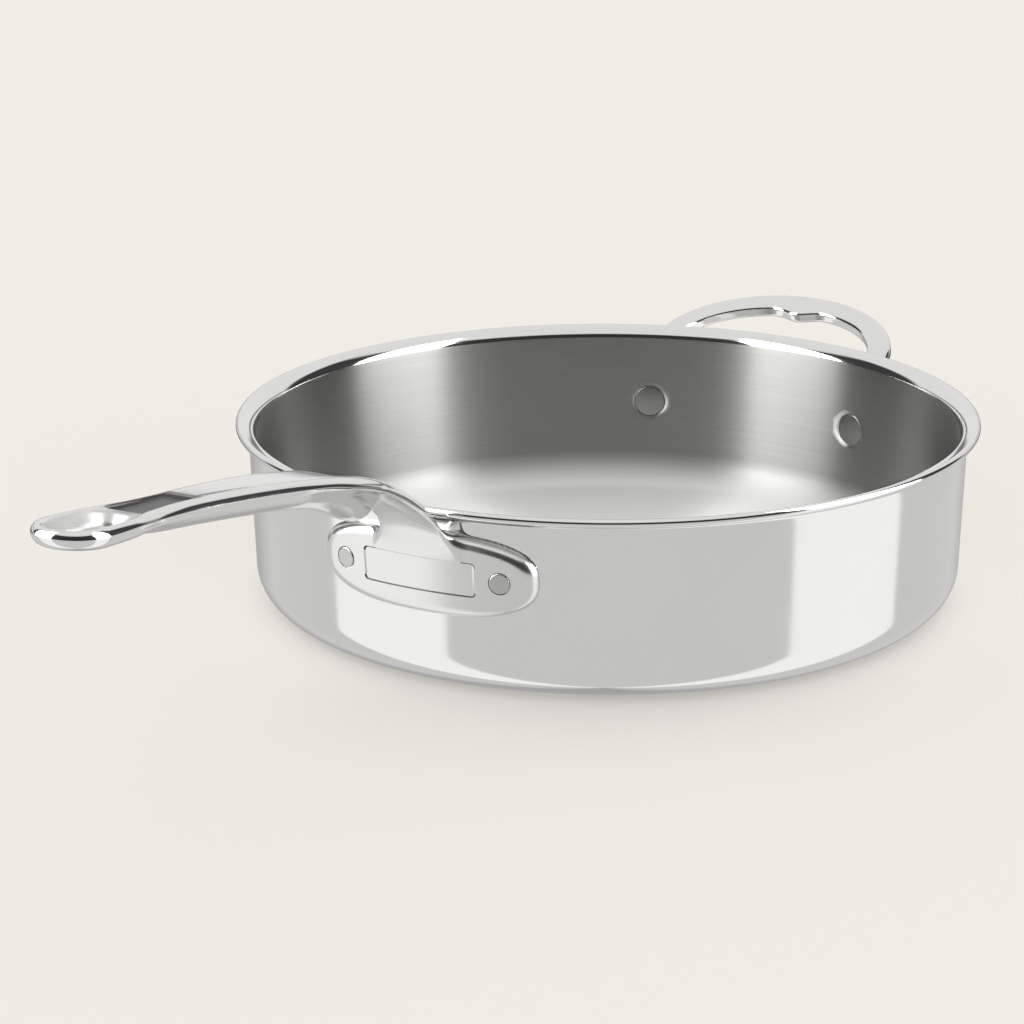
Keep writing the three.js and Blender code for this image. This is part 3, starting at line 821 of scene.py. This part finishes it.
def armField(points):
    x, y, _ = points.T
    along, up, past = armPlace(points)
    side = np.hypot(np.maximum(x - eyeX, 0), y)
    half, drop = halfWidth(along), shoulderDepth(along)
    run = shoulderWidth(along)
    bevel = ((side - half + run) * drop + up * run) / np.hypot(run, drop)
    top = smoothMax(up, bevel, arm["arris"])
    nose = np.minimum(along - alongAt(arm["noseStart"]), 0)
    belly = ellipsoid(
        (nose, arm["noseLength"]), (side, half - bellyInset(along)),
        (np.minimum(up + drop, 0), bellyDepth(along) - drop))
    # the neck's foot follows the curve of the wall
    curve = footShare(along) * y * y / (2 * plateFace)
    hollow, rail = hollowDepth(along), railDepth(along)
    front = hollow + (rail - hollow) * np.minimum(side / half, 1) ** 2 - curve
    sheet = smoothMax(-up - front, side - half + railInset(along), arm["railBlend"])
    body = smoothMax(top, smoothMin(belly, sheet, arm["neckBlend"]), sideBlend(along))
    recess = smoothMax(
        np.abs(y) - half + run + arm["recessMargin"], -up - recessDepth(along), arm["recessRound"])
    hole = brimEdge(x, y) + eye["dishWidth"]
    soft = eye["ringRound"]
    ring = np.hypot(np.maximum(side - half + soft, 0), up + soft) - soft
    body += (ring - body) * ringShare(along)
    dish = (hole * eye["dishDepth"] - (up + eye["dishDepth"]) * eye["dishWidth"]) / math.hypot(
        eye["dishDepth"], eye["dishWidth"])
    cut = smoothMin(recess, smoothMin(hole, dish, eye["dishJoin"]), eye["dishJoin"])
    body = smoothMax(body, -cut, cutBlend(along))
    return np.where(along > 0, body, np.maximum(body, -past))


# where the casting's painted shade and duller finish go: the recess, the panel's sides, the eye's dish and
# the plate
marks = {
    "recessStart": 272, "sideReach": 0.9, "sideFade": 0.4, "topSkip": 0.02, "topFade": 0.2,
    "floorMargin": 0.8, "dishOverlap": 2, "dishFade": 3, "brimSkip": 0.2, "plateEnd": 158, "plateFade": 12,
    "panelMargin": 1, "panelSkip": 0.06,
}


def sunkShare(points):
    # 1 on the recess between the arm's flat top and the eye, where painted shade and a duller finish go
    along, up, _ = armPlace(points)
    width = halfWidth(along) - shoulderWidth(along) - arm["recessMargin"]
    inside = np.clip((width + marks["sideReach"] - np.abs(points[:, 1])) / marks["sideFade"], 0, 1)
    below = np.clip((-up - marks["topSkip"]) / marks["topFade"], 0, 1)
    short = np.clip((dishStart + marks["dishOverlap"] - points[:, 0]) / marks["dishFade"], 0, 1)
    beyond = (points[:, 0] > marks["recessStart"]) & (up > -recessDepth(along) - marks["floorMargin"])
    return inside * below * short * beyond


def plateField(points):
    _, y, z = points.T
    edge = ovalEdge(
        (y, plate["width"] / 2), (z - plate["centreHeight"], plate["height"] / 2), plate["fullness"])
    return smoothMax(wallGap(points) - plate["thickness"], edge, plate["edgeRound"])


def panelCutter():
    # a slab with round corners and sloping sides, bent to the plate's face, for the sunk panel
    corner, depth, slope = plate["panelCorner"], plate["panelDepth"], plate["panelSlope"]
    fine = corner * np.sin(np.linspace(0, math.pi / 2, 9)[1:-1])
    level = np.linspace(-1, 1, plate["panelColumns"] + 1)
    points, faces, rings = [], [], []
    for lift, spread in ((-depth, -slope), (depth / 3, slope / 3), (3, slope / 3)):
        halfWide, halfTall = plate["panelWidth"] / 2 + spread, plate["panelHeight"] / 2 + spread
        places = np.concatenate([level * halfWide, corner - fine - halfWide, halfWide - corner + fine])
        places = np.sort(places)
        beyond = np.clip(np.abs(places) - halfWide + corner, 0, corner)
        tall = halfTall - corner + np.sqrt(corner ** 2 - beyond ** 2)
        for side in (-1, 1):
            rings.append(len(points))
            for place, rise in zip(places, side * tall):
                angle, z = place / plateFace, plate["centreHeight"] + rise
                reach = wallRadius(-plateOuter - lift, z)
                points.append((reach * math.cos(angle) * mm, reach * math.sin(angle) * mm, z * mm))
    count = len(points) // 6
    loop = [rings[k] for k in (0, 1, 3, 5, 4, 2)]
    for a, b in zip(loop, loop[1:] + loop[:1]):
        faces += [(a + k, b + k, b + k + 1, a + k + 1) for k in range(count - 1)]
    faces += [loop[::-1], [a + count - 1 for a in loop]]
    mesh = bpy.data.meshes.new("panelCutter")
    mesh.from_pydata(points, [], faces)
    mesh.materials.append(castFinish)
    return faceOut(newPiece("panelCutter", mesh))


def longHandleField(points):
    body = smoothMin(armField(points), plateField(points), arm["plateBlend"])
    return smoothMax(body, -wallGap(points) - plate["seatDraw"], plate["seatBlend"])


def markHollows(piece):
    # the recess and the sides of the panel get painted shade and a duller finish; the eye's dish and the
    # plate are satin, with painted shade that is full in the dish and faint on the plate
    mesh = piece.data
    corners = meshValues(mesh.vertices, "co", 3) / mm
    # satin: rougher, and darkened as painted shade in the eye's dish and faintly on the plate
    satin = np.clip(-brimEdge(corners[:, 0], corners[:, 1]) - marks["brimSkip"], 0, 1)
    satin += plate["satin"] * np.clip((marks["plateEnd"] - corners[:, 0]) / marks["plateFade"], 0, 1)
    mesh.attributes.new("satin", "FLOAT", "POINT").data.foreach_set("value", satin.astype(np.float32))
    values = sunkShare(corners)[meshValues(mesh.loops, "vertex_index", 1, np.int32)]
    centres = meshValues(mesh.polygons, "center", 3) / mm
    _, y, z = centres.T
    depth = -longHandleField(centres)
    margin, skip = marks["panelMargin"], marks["panelSkip"]
    wall = ((np.abs(y) < plate["panelWidth"] / 2 + margin) & (centres[:, 0] > wallRadius(0, 0))
            & (np.abs(z - plate["centreHeight"]) < plate["panelHeight"] / 2 + margin)
            & (depth > skip) & (depth < plate["panelDepth"] - skip))
    # painted shade on the panel's sloping sides
    values[np.repeat(wall, meshValues(mesh.polygons, "loop_total", 1, np.int32))] = plate["panelShade"]
    mesh.attributes.new("sunk", "FLOAT", "CORNER").data.foreach_set("value", values.astype(np.float32))


longHandle = castPiece("longHandle", longHandleField, (124, -46, 26), (344, 46, 119), castFinish)
panelCut = panelCutter()
shadeByField(cutAway(longHandle, plateHoles, panelCut), longHandleField)
markHollows(longHandle)

# Helper handle

helper = {
    "reach": 42.4, "span": 94.4, "rise": 7, "tilt": 17.8, "legReach": 2.3, "barWidth": 9.5, "apexWidth": 11,
    "barThickness": 5, "barRound": 1.5, "spacing": 5, "padBlend": 5, "bumpReach": 3.8, "bumpSpread": 7.2,
}
tilt = math.radians(helper["tilt"])
faceUp = np.array([math.sin(tilt), 0, math.cos(tilt)])
legX = shell["rimRadius"] + helper["legReach"]
loopDepth = helper["reach"] - helper["legReach"] - helper["apexWidth"] / 2 * math.cos(tilt)
apexZ = (shell["height"] + helper["rise"]
         - (helper["apexWidth"] * math.sin(tilt) + helper["barThickness"] * math.cos(tilt)) / 2)


def helperSpine():
    # up one leg, round the tilted loop and down the other leg
    legTop = apexZ - loopDepth * math.tan(tilt)
    turn = np.linspace(0, math.pi, 60)[:, None]
    loop = np.concatenate([
        -legX - loopDepth * np.sin(turn), helper["span"] / 2 * np.cos(turn),
        legTop + loopDepth * math.tan(tilt) * np.sin(turn)], 1)
    foot = wallRadius(-padOuter, pad["rivetHeight"])
    footZ = pad["rivetHeight"] + rivet["headRadius"]
    kneeReach = (foot + math.hypot(legX, helper["span"] / 2)) / 2
    kneeZ = (footZ + legTop + helper["barThickness"]) / 2
    leg = np.array([
        (-reach * math.cos(padAngle), reach * math.sin(padAngle), height)
        for reach, height in ((foot, footZ), (kneeReach, kneeZ))])
    return evenPoints(np.concatenate([leg, loop, leg[::-1] * (1, -1, 1)]), helper["spacing"])


loopSpine, _ = helperSpine()


def padField(points, side):
    x, y, z = points.T
    across = -x * math.sin(padAngle) * side - y * math.cos(padAngle)
    edge = ellipsoid((across, pad["width"] / 2), (z - pad["rivetHeight"], pad["height"] / 2))
    front = -x * math.cos(padAngle) + y * math.sin(padAngle) * side
    body = smoothMax(wallGap(points) - pad["thickness"], edge, pad["edgeRound"])
    return np.where(front > 0, body, cast["farOff"])


def helperField(points):
    t, foot, tangent = nearestOnSpline(loopSpine, points)
    across = np.cross(faceUp, tangent)
    across /= np.linalg.norm(across, axis=1, keepdims=True)
    up = np.cross(tangent, across)
    away = points - foot
    share = np.sin(math.pi * t / (len(loopSpine) - 3)) ** 4
    half = (helper["barWidth"] + (helper["apexWidth"] - helper["barWidth"]) * share) / 2
    swell = helper["bumpReach"] * np.exp(-(points[:, 1] / helper["bumpSpread"]) ** 2) * (share > 0.5)
    soft = helper["barRound"]
    out = np.stack([
        np.abs((away * across).sum(1) - swell / 2) - half - swell / 2 + soft,
        np.abs((away * up).sum(1)) - helper["barThickness"] / 2 + soft,
        np.abs((away * tangent).sum(1))], 1)
    body = np.linalg.norm(np.maximum(out, 0), axis=1) + np.minimum(out[:, :2].max(1), 0) - soft
    for side in (1, -1):
        body = smoothMin(body, padField(points, side), helper["padBlend"])
    return smoothMax(body, -wallGap(points), pad["seatBlend"])


helperHandle = castPiece("helperHandle", helperField, (-186, -66, 16), (-112, 66, 80), castFinish)
shadeByField(cutAway(helperHandle, padHoles), helperField)
for cutter in (plateHoles, padHoles, panelCut):
    bpy.data.objects.remove(cutter)
print("handles cast")

# What each piece stands for

for piece, slot, nodes in (
        (panLiner, "brushed_liner", ["inner_liner"]),
        (heatCore, "core_aluminium", ["heat_core"]),
        (panSkin, "polished_skin", ["outer_skin"]),
        (longHandle, "polished_casting", ["long_handle"]),
        (helperHandle, "polished_casting", ["helper_handle"]),
        (longHandleRivets, "rivet_steel", ["long_handle_rivet_left", "long_handle_rivet_right"]),
        (helperRivets, "rivet_steel", ["helper_rivet_left", "helper_rivet_right"])):
    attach(piece, "root")
    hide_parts(*nodes)

# Floor, studio and camera

studio = {
    "floorSize": 14, "floorColour": (0.885, 0.865, 0.815), "floorDarkest": 0.985, "floorScale": 3,
    "floorGlow": 0.15, "ambient": 1.0,
    "viewAzimuth": 32.6,        # the middle between the two soft boxes
    "boxFrom": 57.5, "boxTo": 101.5,
    "boxNear": (1.547, 2.307), "boxFar": (-0.09, 0.968), "boxHeight": 2.2, "boxLevel": 6,
    "daylight": (1.0, 0.99, 0.97), "overhead": (0.87, 0.87, 0.86), "gapTone": (0.06, 0.06, 0.06),
}


def makeFloor():
    half = studio["floorSize"] / 2
    mesh = bpy.data.meshes.new("floor")
    corners = [(-half, -half, 0), (half, -half, 0), (half, half, 0), (-half, half, 0)]
    mesh.from_pydata(corners, [], [(0, 1, 2, 3)])
    floor = newPiece("floor", mesh)
    material, tree, shader = newFinish("paleFloor", 0.0)
    cloud = noiseNode(tree, placeNode(tree, "Object"), studio["floorScale"])
    tone = tintNode(tree, cloud, studio["floorColour"], studio["floorDarkest"])
    feedNode(tree, shader, Base_Color=tone, Roughness=0.9, Specular_IOR_Level=0.0)
    glow = linkedNode(tree, "ShaderNodeEmission", Color=tone)
    mixed = tree.nodes.new("ShaderNodeMixShader")
    for socket, value in zip(mixed.inputs, (studio["floorGlow"], shader.outputs["BSDF"], glow)):
        setSocket(tree, socket, value)
    feedNode(tree, tree.nodes["Material Output"], Surface=mixed.outputs["Shader"])
    mesh.materials.append(material)
    floor.visible_glossy = False


def makeStudio():
    # glossy rays see a floor lit by the soft boxes, a pale backdrop and a dark camera side
    world = bpy.data.worlds.new("studio")
    scene.world = world
    world.use_nodes = True
    tree = world.node_tree
    tree.nodes.clear()
    turn = tree.nodes.new("ShaderNodeVectorRotate")
    turn.rotation_type = "Z_AXIS"
    feedNode(tree, turn, Vector=placeNode(tree, "Generated"), Angle=-math.radians(studio["viewAzimuth"]))
    x, y, z = linkedNode(tree, "ShaderNodeSeparateXYZ", Vector=turn.outputs["Vector"]).node.outputs
    azimuth = mathNode(tree, "ABSOLUTE", mathNode(tree, "ARCTAN2", y, x))
    share = mathNode(tree, "DIVIDE", azimuth, math.pi)

    def ramp(value, stops):
        node = tree.nodes.new("ShaderNodeValToRGB")
        elements = node.color_ramp.elements
        while len(elements) < len(stops):
            elements.new(0.5)
        for element, (position, level) in zip(elements, stops):
            element.position = position
            element.color = (level, level, level, 1)
        feedNode(tree, node, Fac=value)
        return node.outputs["Color"]

    start, end = studio["boxFrom"] / 180, studio["boxTo"] / 180
    upper = ramp(share, [(0, 0.03), (0.705, 0.05), (0.735, 0.88), (1, 0.88)])
    lower = ramp(share, [
        (0, 0.69), (start - 0.006, 0.69), (start, 1.1), (end, 1.1), (end + 0.006, 0.69),
        (0.8, 0.7), (0.92, 0.45)])
    behind = ramp(share, [(0, 0.0), (0.72, 0.0), (0.74, 1.0), (1, 1.0)])
    height = mathNode(tree, "MULTIPLY_ADD", z, 0.5, 0.5)
    table = ramp(height, [(0, 0.0), (0.46, 0.0), (0.485, 1.0), (1, 1.0)])
    # two dark strips low behind the pan draw thin dark lines on the castings
    gap = ramp(height, [
        (0, 0.0), (0.375, 0.0), (0.385, 0.8), (0.45, 0.8), (0.465, 0.0),
        (0.543, 0.0), (0.548, 0.85), (0.57, 0.85), (0.58, 0.0)])
    above = ramp(height, [(0, 0.0), (0.83, 0.0), (0.88, 1.0), (1, 1.0)])
    seen = mixNode(tree, table, lower, upper)
    seen = mixNode(tree, mathNode(tree, "MULTIPLY", behind, gap), seen, studio["gapTone"])
    seen = mixNode(tree, above, seen, studio["overhead"])
    path = tree.nodes.new("ShaderNodeLightPath")
    colour = mixNode(tree, path.outputs["Is Glossy Ray"], studio["daylight"], seen)
    background = linkedNode(tree, "ShaderNodeBackground", Color=colour, Strength=studio["ambient"])
    feedNode(tree, tree.nodes.new("ShaderNodeOutputWorld"), Surface=background)


def makeSoftBoxes():
    # one on each side, seen only in reflections
    turn = Matrix.Rotation(math.radians(studio["viewAzimuth"]), 4, "Z")
    for name, side in (("softBoxLeft", -1), ("softBoxRight", 1)):
        near, far = (Vector((x, side * y, 0)) for x, y in (studio["boxNear"], studio["boxFar"]))
        data = bpy.data.lights.new(name, "AREA")
        data.shape = "RECTANGLE"
        data.size, data.size_y = (near - far).length, studio["boxHeight"]
        data.energy = studio["boxLevel"] * math.pi * data.size * data.size_y
        lamp = newPiece(name, data)
        across = (near - far).normalized() * -side
        up = Vector((0, 0, 1))
        face = Matrix((across, up, across.cross(up))).transposed().to_4x4()
        middle = (near + far) / 2 + up * studio["boxHeight"] / 2
        lamp.matrix_world = turn @ Matrix.Translation(middle) @ face
        lamp.visible_camera = lamp.visible_diffuse = False


# The camera was solved from the rim, base and wall lines of a picture 1024 pixels wide
view = {
    "place": (1039.56, 555.41, 392.10), "forward": (-0.828742, -0.475974, -0.294338),
    "up": (-0.257482, -0.142677, 0.955692), "focalPixels": 3230.97, "imagePixels": 1024, "sensor": 36,
}


def makeCamera():
    data = bpy.data.cameras.new("photoView")
    data.sensor_width = view["sensor"]
    data.lens = view["focalPixels"] / view["imagePixels"] * view["sensor"]
    camera = newPiece("photoView", data)
    forward, up = Vector(view["forward"]).normalized(), Vector(view["up"])
    right = forward.cross(up).normalized()
    turn = Matrix((right, right.cross(forward), -forward)).transposed().to_4x4()
    camera.matrix_world = Matrix.Translation(Vector(view["place"]) * mm) @ turn
    scene.camera = camera


makeFloor()
makeStudio()
makeSoftBoxes()
makeCamera()
scene.view_settings.view_transform = "Standard"
print("studio set")
